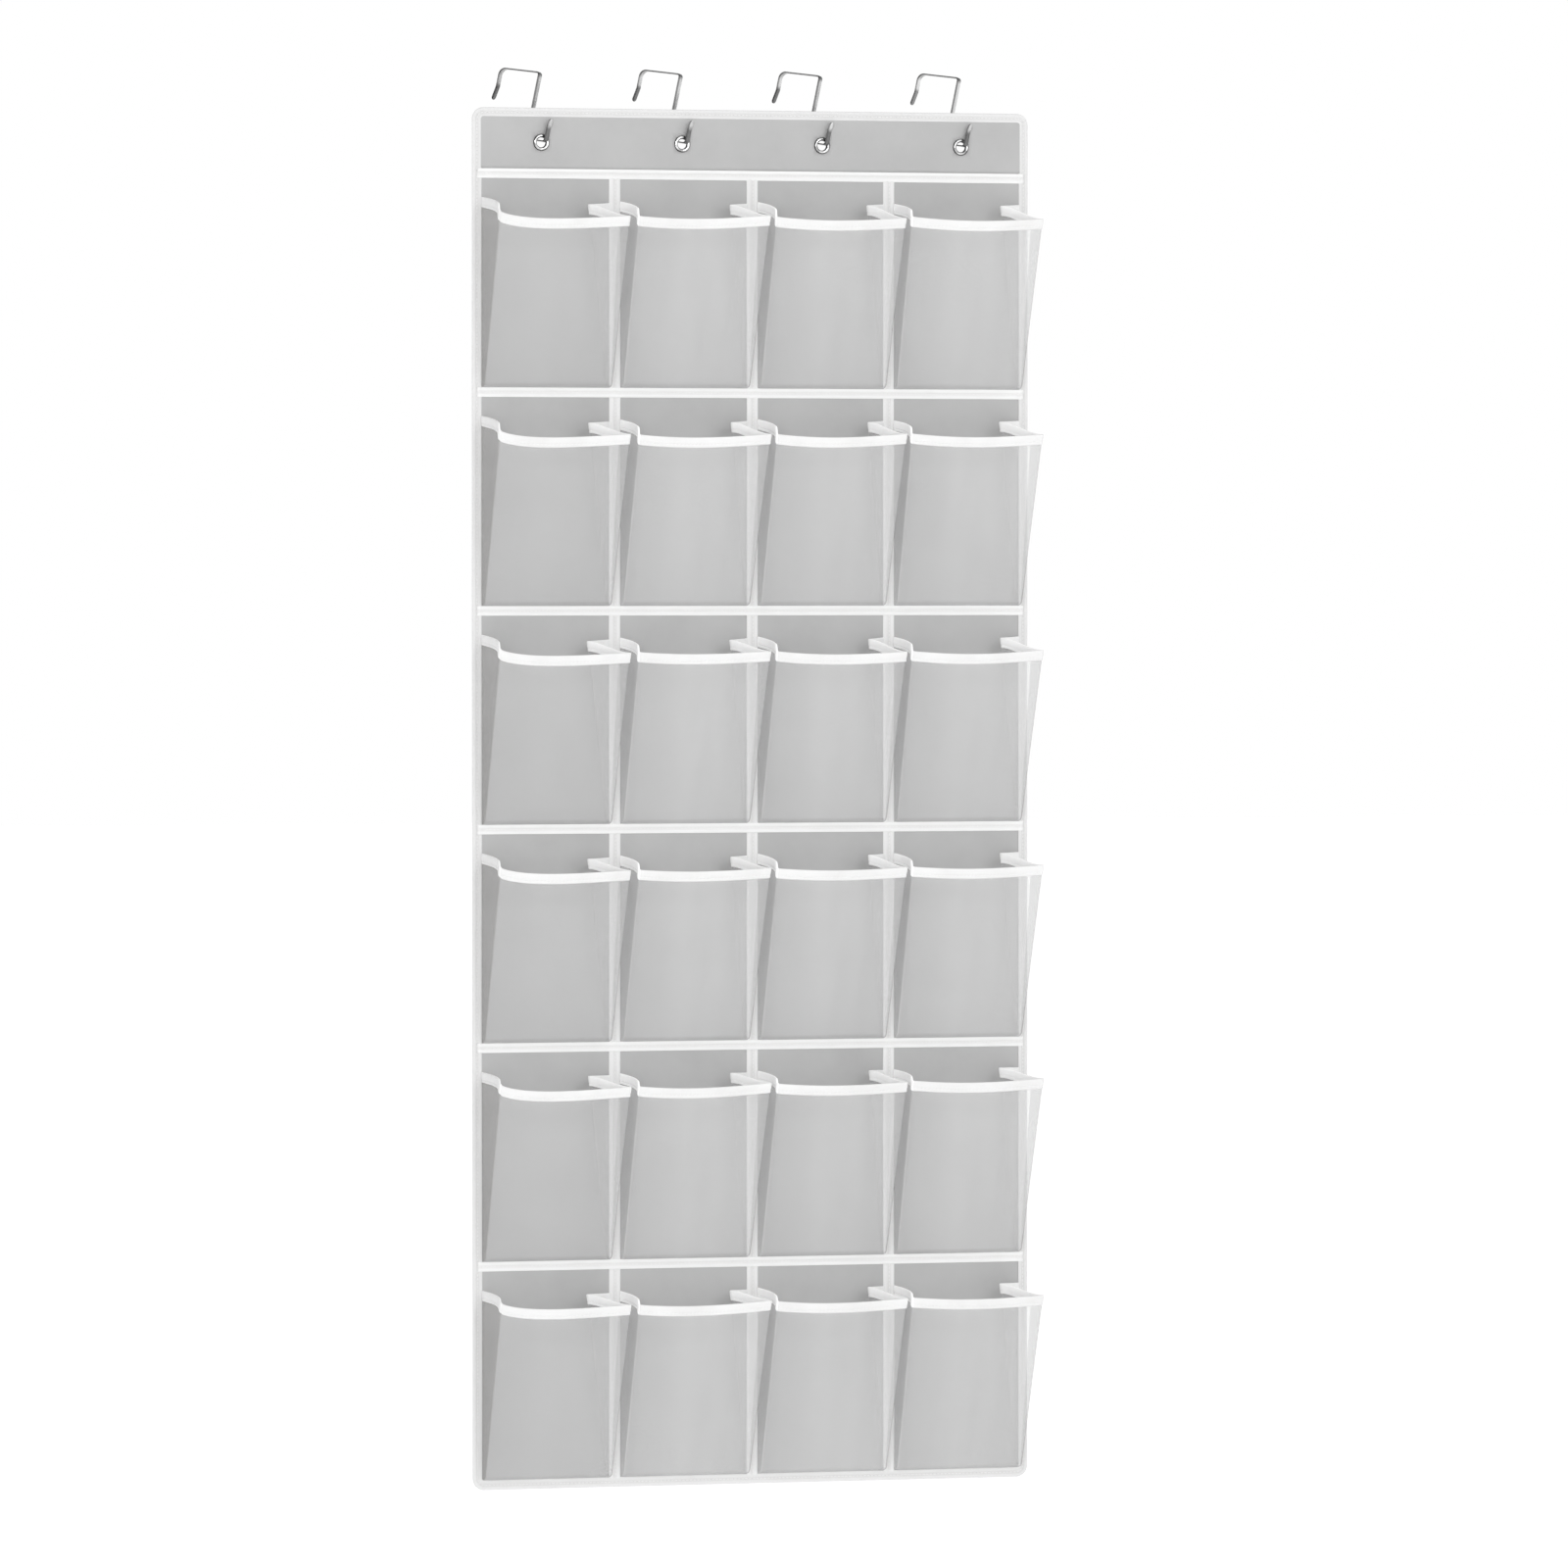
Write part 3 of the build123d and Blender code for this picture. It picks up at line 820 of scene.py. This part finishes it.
class Pocket:
    """One pocket's shape: a line round its plan, with a height for the mouth along it.

    t runs from 0 at the left seam to 1 and 2 at the front corners, 3 at the inner fold of
    the right side's pleat and 4 at the right seam.
    """

    def __init__(self, row, column):
        chance = np.random.default_rng(100 * row + column)
        lift = ROW_LIFT[row]
        self.left = MOUTH_FRONT_LEFT[column] + lift + chance.normal(0, 0.35 * MM)
        self.right = MOUTH_FRONT_RIGHT[column] + lift + chance.normal(0, 0.35 * MM)
        self.sag = MOUTH_SAG[column] + chance.normal(0, 0.3 * MM)
        self.lean = SAG_LEAN[column]
        self.left_seam, self.right_seam = MOUTH_LEFT_SEAM[column], MOUTH_RIGHT_SEAM[column]
        self.fold = MOUTH_FOLD[column] + 0.6 * lift
        self.depth = POCKET_DEPTH + chance.normal(0, 0.5 * MM)
        self.pleat = PLEAT[column] + chance.normal(0, 0.6 * MM)
        self.flares = LEFT_FLARE[column], RIGHT_FLARE[column]
        self.bow = 3.2 * MM + chance.normal(0, 0.4 * MM)
        self.phases = chance.uniform(0, 2 * np.pi, 3)
        self.x = cell_middle(column)
        self.z = cell_bottom(row)

    def mouth(self, t):
        """Height of the mouth's edge."""
        f = np.clip(t - 1, 0, 1)
        side = np.clip(t, 0, 1)
        drop = 0.58 * side**1.15 + 0.42 * smooth((side - 0.86) / 0.14)
        left = self.left_seam - (self.left_seam - self.left) * drop
        front = self.left + (self.right - self.left) * f
        front = front - self.sag * np.sin(np.pi * f**self.lean)
        inner = self.right + (self.fold - self.right) * smooth(t - 2)
        rear = self.fold + (self.right_seam - self.fold) * np.clip(t - 3, 0, 1)
        return np.where(t < 1, left, np.where(t < 2, front, np.where(t < 3, inner, rear)))

    def share(self, z):
        """Depth at a height, as a share of the full depth."""
        depth = FLOOR_DEPTH + (self.depth - FLOOR_DEPTH) * z / DEPTH_HEIGHT
        turn = 1 - np.clip(z / FLOOR_ROUND, 0, 1)
        return np.maximum(depth * np.sqrt(1 - turn**2), 0.6 * MM) / self.depth

    def plan(self, t, s):
        """x and depth on the line round the pocket, its corners rounded."""
        zero = 0 * s
        left_x, right_x = (SEAM + flare * s for flare in self.flares)
        corners = np.array(
            [
                (-SEAM + zero, zero),
                (-left_x, self.depth * s),
                (right_x, self.depth * s),
                (SEAM - self.pleat * s, self.depth / 2 * s),
                (SEAM + zero, zero),
            ]
        )
        k = np.clip(np.floor(t), 0, 3).astype(int)
        at = np.indices(k.shape)
        here = np.moveaxis(corners, 1, -1)
        a, b = here[(k, *at)], here[(k + 1, *at)]
        flat = a + (b - a) * (t - k)[..., None]
        for corner, (before, after) in CORNER_REACH.items():
            p, prior, later = corners[corner], corners[corner - 1], corners[corner + 1]
            start, end = p + (prior - p) * before, p + (later - p) * after
            q = np.clip((t - corner + before) / (before + after), 0, 1)
            bend = (1 - q) ** 2 * start + 2 * q * (1 - q) * p + q**2 * end
            near = (t > corner - before) & (t < corner + after)
            flat = np.where(near[..., None], np.moveaxis(bend, 0, -1), flat)
        return flat[..., 0], flat[..., 1]

    def at(self, t, z):
        """Points of the cloth at t round the pocket and z above the cell's bottom."""
        t, z = np.broadcast_arrays(np.asarray(t, float), np.asarray(z, float))
        s = self.share(z)
        x, depth = self.plan(t, s)
        side, f = np.clip(t, 0, 1), np.clip(t - 1, 0, 1)
        x = x + 3.0 * MM * s * np.sin(np.pi * side) ** 1.5
        window = np.sin(np.pi * f) ** 0.7
        up = z / DEPTH_HEIGHT
        p = self.phases
        folds = 0.5 * np.sin(2 * np.pi * 1.5 * f + p[0])
        folds = folds + 0.35 * np.sin(2 * np.pi * 2.6 * f + p[1] + 1.5 * up)
        folds = folds + 0.2 * np.sin(2 * np.pi * 4.3 * f + p[2] - 2.0 * up)
        depth = depth + window * s * (self.bow + 0.6 * MM * folds)
        pinch = np.sin(np.pi * np.clip(t - 2, 0, 1)) - np.sin(np.pi * np.clip(t - 3, 0, 1))
        x = x - 1.2 * MM * s * pinch
        place_x, place_z = self.x + x, self.z + z
        return np.stack([place_x, cloth_front + sway(place_x, place_z) - depth, place_z], -1)

    def outward(self, t, z):
        """Horizontal direction out of the pocket at a point."""
        step = 0.004
        run = self.at(np.clip(t + step, 0, 4), z) - self.at(np.clip(t - step, 0, 4), z)
        run[..., 2] = 0
        run = run / np.linalg.norm(run, axis=-1, keepdims=True)
        return np.stack([run[..., 1], -run[..., 0], 0 * run[..., 0]], -1)


def net_columns():
    """Places round the pocket where its mesh has a column of points."""
    runs = [(0, 0.965, 9), (0.965, 1, 3), (1, 1.014, 3), (1.014, 1.986, 30), (1.986, 2, 3)]
    runs += [(2, 2.05, 4), (2.05, 2.955, 9), (2.955, 3.045, 5), (3.045, 4, 9)]
    return np.unique(np.concatenate([np.linspace(a, b, n) for a, b, n in runs]))


def make_net(pocket, name, front, left):
    """The pocket's net, with its seam allowance tucked under the tapes."""
    t = net_columns()
    v = np.concatenate([np.linspace(0, 0.055, 7)[:-1], np.linspace(0.055, 1, 34)])
    top = pocket.mouth(t) - 0.8 * MM
    points = pocket.at(t[None], v[:, None] * top[None])
    under = cloth_front - 0.15 * MM
    bottom = points[:1].copy()
    bottom[..., 1] = under + sway(bottom[..., 0], bottom[..., 2])
    bottom[..., 2] -= TUCK
    points = np.concatenate([bottom, points], 0)
    edges = []
    for k, way in ((0, -1), (-1, 1)):
        edge = points[:, k : k + 1 or None].copy()
        edge[..., 0] += way * TUCK
        edge[..., 1] = under + sway(edge[..., 0], edge[..., 2])
        edges.append(edge)
    points = np.concatenate([edges[0], points, edges[1]], 1)
    u = lengths(points[-1])
    height = np.concatenate([[-TUCK], v * pocket.left_seam])
    shell = Shell()
    grid, faces, uvs = skin(points, height, u)
    middle_t = np.concatenate([[0], (t[1:] + t[:-1]) / 2, [4]])
    # Painted shade: the right side takes a dark net up to FOLD_SHADE, a thinner one behind it.
    slots = np.tile(np.digitize(middle_t, [1, 2, FOLD_SHADE]), len(points) - 1)
    shell.add(grid, [faces[0][:, ::-1]], [uvs[0][:, ::-1, ::-1]], slots)
    return shell.piece(name, [left, front, SHADED_FOLD_NET, PLEAT_NET])


def make_mouth(pocket, name, left):
    """Binding folded over the mouth's edge, sewn near its lower edges."""
    dense = np.linspace(0, 4, 1601)
    line = pocket.at(dense, pocket.mouth(dense))
    run = lengths(line)
    count = round(run[-1] / STITCH)
    phases = np.arange(4 * count + 1) / 4
    t = np.interp(phases / count * run[-1], run, dense)
    edge = pocket.mouth(t)
    down, half = BINDING_DOWN, BINDING_HALF
    near_seam = np.exp(-(((down - down[BINDING_SEAM]) / MM) ** 2))
    pull = 1 + 0.12 * np.cos(2 * np.pi * phases)[:, None] * near_seam
    out = pocket.outward(t, edge)
    spine = pocket.at(t[:, None], edge[:, None] - down[None])
    offset = out[:, None] * (half[None] / pull)[..., None]
    outer, inner = spine + offset, spine - offset
    points = np.concatenate([outer, inner[:, ::-1]], 1)
    for end in (0, -1):
        points[end, :, 1] = cloth_front + 0.2 * MM + sway(points[end, :, 0], points[end, :, 2])
    drop = np.concatenate([down, down[::-1] + 2 * down[-1], [3.1 * down[-1]]])
    # The sides take lighter copies of the front binding: painted light.
    side = np.array([2, 0, 3])[np.digitize((t[1:] + t[:-1]) / 2, [1, 2])]
    slots = np.append(np.repeat(side, points.shape[1]), [2, 3])
    shell = Shell()
    shell.add(*capped(points, phases / count * run[-1], drop), slots)
    at_hole = np.arange(0, len(phases), 4)[1:-1]
    middle, way = spine[at_hole, BINDING_SEAM], out[at_hole]
    dip = way * (half / pull[at_hole])[:, BINDING_SEAM, None]
    stitches(shell, middle + dip, way)
    stitches(shell, middle - dip, -way)
    return shell.piece(name, [MOUTH_BINDING, SEWING_THREAD, left, LIT_SIDE_BINDING])


def make_pocket(row, column):
    label = f"r{row + 1}_c{column + 1}"
    pocket = Pocket(row, column)
    # Column 1 takes darker copies of the nets and side binding, columns 2 to 4 lighter ones:
    # painted light and shade.
    looks = (NET, SIDE_NET, LIT_INNER_BINDING) if column else (OUTER_NET, OUTER_SIDE_NET, LIT_SIDE_BINDING)
    front, side, side_binding = looks
    net = make_net(pocket, f"net_{label}", front, side)
    mouth = make_mouth(pocket, f"mouth_binding_{label}", side_binding)
    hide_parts(f"pocket_{label}")
    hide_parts(f"mouth_tape_{label}")
    for piece in (net, mouth):
        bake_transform(piece)


# Grommets


def lathe(name, x, profile, material):
    """A ring turned about the grommet's axis. profile is (radius, y) all the way round."""
    profile, sides = np.array(profile), 72
    turn = np.arange(sides) * 2 * np.pi / sides
    radius, y = profile.T
    points = np.stack(
        [
            x + radius[None] * np.cos(turn)[:, None],
            np.broadcast_to(y[None], (sides, len(y))),
            hole_z + radius[None] * np.sin(turn)[:, None],
        ],
        -1,
    )
    u = np.linspace(0, 2 * np.pi * flange_radius, sides + 1)
    v = np.concatenate([lengths(profile), [lengths(profile)[-1] + MM]])
    shell = Shell()
    shell.add(*skin(points, u, v, around=True, along=True))
    return shell.piece(name, [material])


def arc(middle, radii, start, end, steps):
    """Points on an ellipse about a middle, angles in degrees."""
    angles = np.radians(np.linspace(start, end, steps))
    circle = zip(np.cos(angles), np.sin(angles))
    return [(middle[0] + radii[0] * c, middle[1] + radii[1] * s) for c, s in circle]


def make_grommets():
    """Eyelets with a domed flange and a barrel rolled over a washer at the back."""
    throat = 5.02 * MM
    wall = 0.35 * MM
    ground = band_front
    rear = washers_back
    crown = (throat + flange_radius) / 2
    for i, x in enumerate(hole_xs):
        dome = arc((crown, ground), (flange_radius - crown, 1.6 * MM), 0, -180, 17)
        roll = arc((throat + 1.1 * MM, rear + 0.05 * MM), (1.1 * MM, 0.75 * MM), 180, 20, 11)
        under = [(throat + wall, rear - 0.1 * MM), (throat + wall, ground)]
        eyelet = lathe(f"eyelet_{i + 1}", x, dome + roll + under, NICKEL)
        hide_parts("grommet_eyelets")
        ring = arc((6.9 * MM, cloth_back), (1.6 * MM, 0.75 * MM), 0, 180, 13)
        ring.append((5.5 * MM, cloth_back - 0.1 * MM))
        washer = lathe(f"washer_{i + 1}", x, ring, NICKEL)
        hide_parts("grommet_washers")
        for piece in (eyelet, washer):
            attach(piece, "panel")


# Hooks


def bent_line(corners, radii):
    """Points along a line with its corners rounded."""
    points = [corners[0]]
    for a, p, b, radius in zip(corners, corners[1:], corners[2:], radii):
        inward, onward = (p - a) / np.linalg.norm(p - a), (b - p) / np.linalg.norm(b - p)
        turn = math.atan2(inward[0] * onward[1] - inward[1] * onward[0], inward @ onward)
        start = p - inward * radius * math.tan(abs(turn) / 2)
        centre = start + np.array([-inward[1], inward[0]]) * math.copysign(radius, turn)
        spoke = start - centre
        for k in range(9):
            c, s = math.cos(turn * k / 8), math.sin(turn * k / 8)
            points.append(centre + [c * spoke[0] - s * spoke[1], s * spoke[0] + c * spoke[1]])
    return np.array([*points, corners[-1]])


def squared(wave):
    """Turns a circle's sine or cosine into a rounded bar's."""
    return np.sign(wave) * np.abs(wave) ** 0.45


def make_hooks():
    """Flat strip with rolled edges, bent to the CAD hooks' shape and rounded at both ends."""
    bends = bent_line(HOOK_LINE, HOOK_BENDS)
    run = lengths(bends)
    tip = STRIP_WIDTH / 2 * (1 - np.cos(np.linspace(0.12, math.pi / 2, 9)))
    s = np.unique(np.concatenate([run[1:-1], tip, run[-1] - tip, np.arange(4, 200, 4) * MM]))
    s = s[s < run[-1]]
    line = np.stack([np.interp(s, run, bends[:, k]) for k in range(2)], -1)
    ahead = np.gradient(line, s, axis=0)
    ahead = ahead / np.linalg.norm(ahead, axis=1)[:, None]
    to_end = np.minimum(np.minimum(s, run[-1] - s), STRIP_WIDTH / 2)
    half = np.sqrt(STRIP_WIDTH * to_end - to_end**2)
    turn = np.arange(28) * 2 * np.pi / 28
    wide, thick = squared(np.cos(turn)), squared(np.sin(turn)) * STRIP / 2
    across = half[:, None] * wide[None]
    forward = line[:, :1] - ahead[:, 1:] * thick[None]
    up = line[:, 1:] + ahead[:, :1] * thick[None]
    local = np.stack([across, -forward, up], -1)
    pose = Matrix.Rotation(HOOK_LEAN, 3, "Y") @ Matrix.Rotation(HOOK_TWIST, 3, "Z")
    points = local @ np.array(pose).T
    section = np.stack([STRIP_WIDTH / 2 * wide, thick], -1)
    v = np.concatenate([lengths(section), [2.4 * STRIP_WIDTH]])
    middle_y = (eyelets_low[1] + washers_back) / 2
    for i, x in enumerate(hole_xs):
        shell = Shell()
        shell.add(*capped(points + [x, middle_y, hole_z], s, v))
        hook = shell.piece(f"strip_hook_{i + 1}", [STEEL])
        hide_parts(f"hook_{i + 1}")
        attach(hook, f"hook_{i + 1}")


# Room, light and camera

BRIGHT_SIDE = (0.14, -0.8, 0.58)    # direction that the room is brightest in
ROOM_LEVELS = (0.28, 1.06)          # its brightness away from there, and there
ROOM_TURN = -0.35                   # cosine from that direction where it starts to brighten
FLOOR_GLOW = 0.4                    # keeps the floor as white as the room
AIM_RIGHT, AIM_UP = 0.0326, 0.0138  # where the camera points, from the middle of the cloth


def plain(name, shade):
    made = Nodes(name)
    clouds = made.noise(made.room_place(), 0.8, 2.0)
    stops = [(0.3, grey(shade * 0.995)), (0.7, grey(shade))]
    made.set(Base_Color=made.ramp(clouds, stops), Roughness=0.9, Specular_IOR_Level=0.1)
    made.set(Emission_Color=(1, 1, 1, 1), Emission_Strength=FLOOR_GLOW)
    return made.owner


def make_floor():
    size, below = 40.0, 0.16
    z = panel_low[2] - below
    mesh = bpy.data.meshes.new("floor")
    corners = [(-size, -size, z), (size, -size, z), (size, size, z), (-size, size, z)]
    mesh.from_pydata(corners, [], [(0, 1, 2, 3)])
    mesh.materials.append(plain("pale_floor", 0.93))
    floor = bpy.data.objects.new("floor", mesh)
    bpy.context.scene.collection.objects.link(floor)


def soft_light(name, place, target, size, power):
    data = bpy.data.lights.new(name, "AREA")
    data.shape, data.size, data.size_y, data.energy = "RECTANGLE", size[0], size[1], power
    light = bpy.data.objects.new(name, data)
    bpy.context.scene.collection.objects.link(light)
    light.location = place
    light.rotation_euler = (Vector(target) - Vector(place)).to_track_quat("-Z", "Y").to_euler()


def make_light():
    """A room that is brightest to the front right, seen as plain white, with two soft lights."""
    made = Nodes("studio", bpy.data.worlds, "Background")
    facing = made.node("ShaderNodeVectorMath", {"operation": "DOT_PRODUCT"})
    made.put(facing.inputs[0], made.node("ShaderNodeTexCoord").outputs["Generated"])
    made.put(facing.inputs[1], BRIGHT_SIDE)
    level = made.node(
        "ShaderNodeMapRange",
        {"interpolation_type": "SMOOTHSTEP"},
        Value=facing.outputs["Value"],
        From_Min=ROOM_TURN,
        To_Min=ROOM_LEVELS[0],
        To_Max=ROOM_LEVELS[1],
    )
    seen = made.node("ShaderNodeLightPath").outputs["Is Camera Ray"]
    strength = made.math("MAXIMUM", level.outputs["Result"], seen)
    made.set(Color=(1, 1, 1, 1), Strength=strength)
    bpy.context.scene.world = made.owner
    middle = (0, 0, (panel_low[2] + panel_high[2]) / 2)
    soft_light("key", (0.9, -7.3, 1.3), middle, (2.6, 2.6), 92)
    soft_light("fill", (-3.8, -6.3, 0.8), middle, (2.6, 2.6), 124)
    bpy.context.scene.view_settings.view_transform = "Standard"


def make_camera():
    """Seen from the left of straight ahead, a little from above, from far off."""
    azimuth, elevation = math.radians(-19.4), math.radians(1.02)
    distance, lens = 13.035, 293.5
    data = bpy.data.cameras.new("camera")
    data.sensor_width, data.lens = 36, lens
    camera = bpy.data.objects.new("camera", data)
    bpy.context.scene.collection.objects.link(camera)
    back = Vector((math.sin(azimuth), -math.cos(azimuth), math.tan(elevation))).normalized()
    middle = Vector((0, cloth_front, (panel_low[2] + panel_high[2]) / 2))
    right = Vector((math.cos(azimuth), math.sin(azimuth), 0))
    camera.location = middle + back * distance
    aim = middle + right * AIM_RIGHT + Vector((0, 0, AIM_UP))
    camera.rotation_euler = (aim - camera.location).to_track_quat("-Z", "Y").to_euler()
    data.clip_end = 200
    bpy.context.scene.camera = camera


make_camera()
make_light()
make_floor()
cloth, header = make_cloth()
border = make_border()
tapes = make_row_tapes() + make_column_tapes()
for row in range(ROWS):
    for column in range(COLUMNS):
        make_pocket(row, column)
make_grommets()
make_hooks()
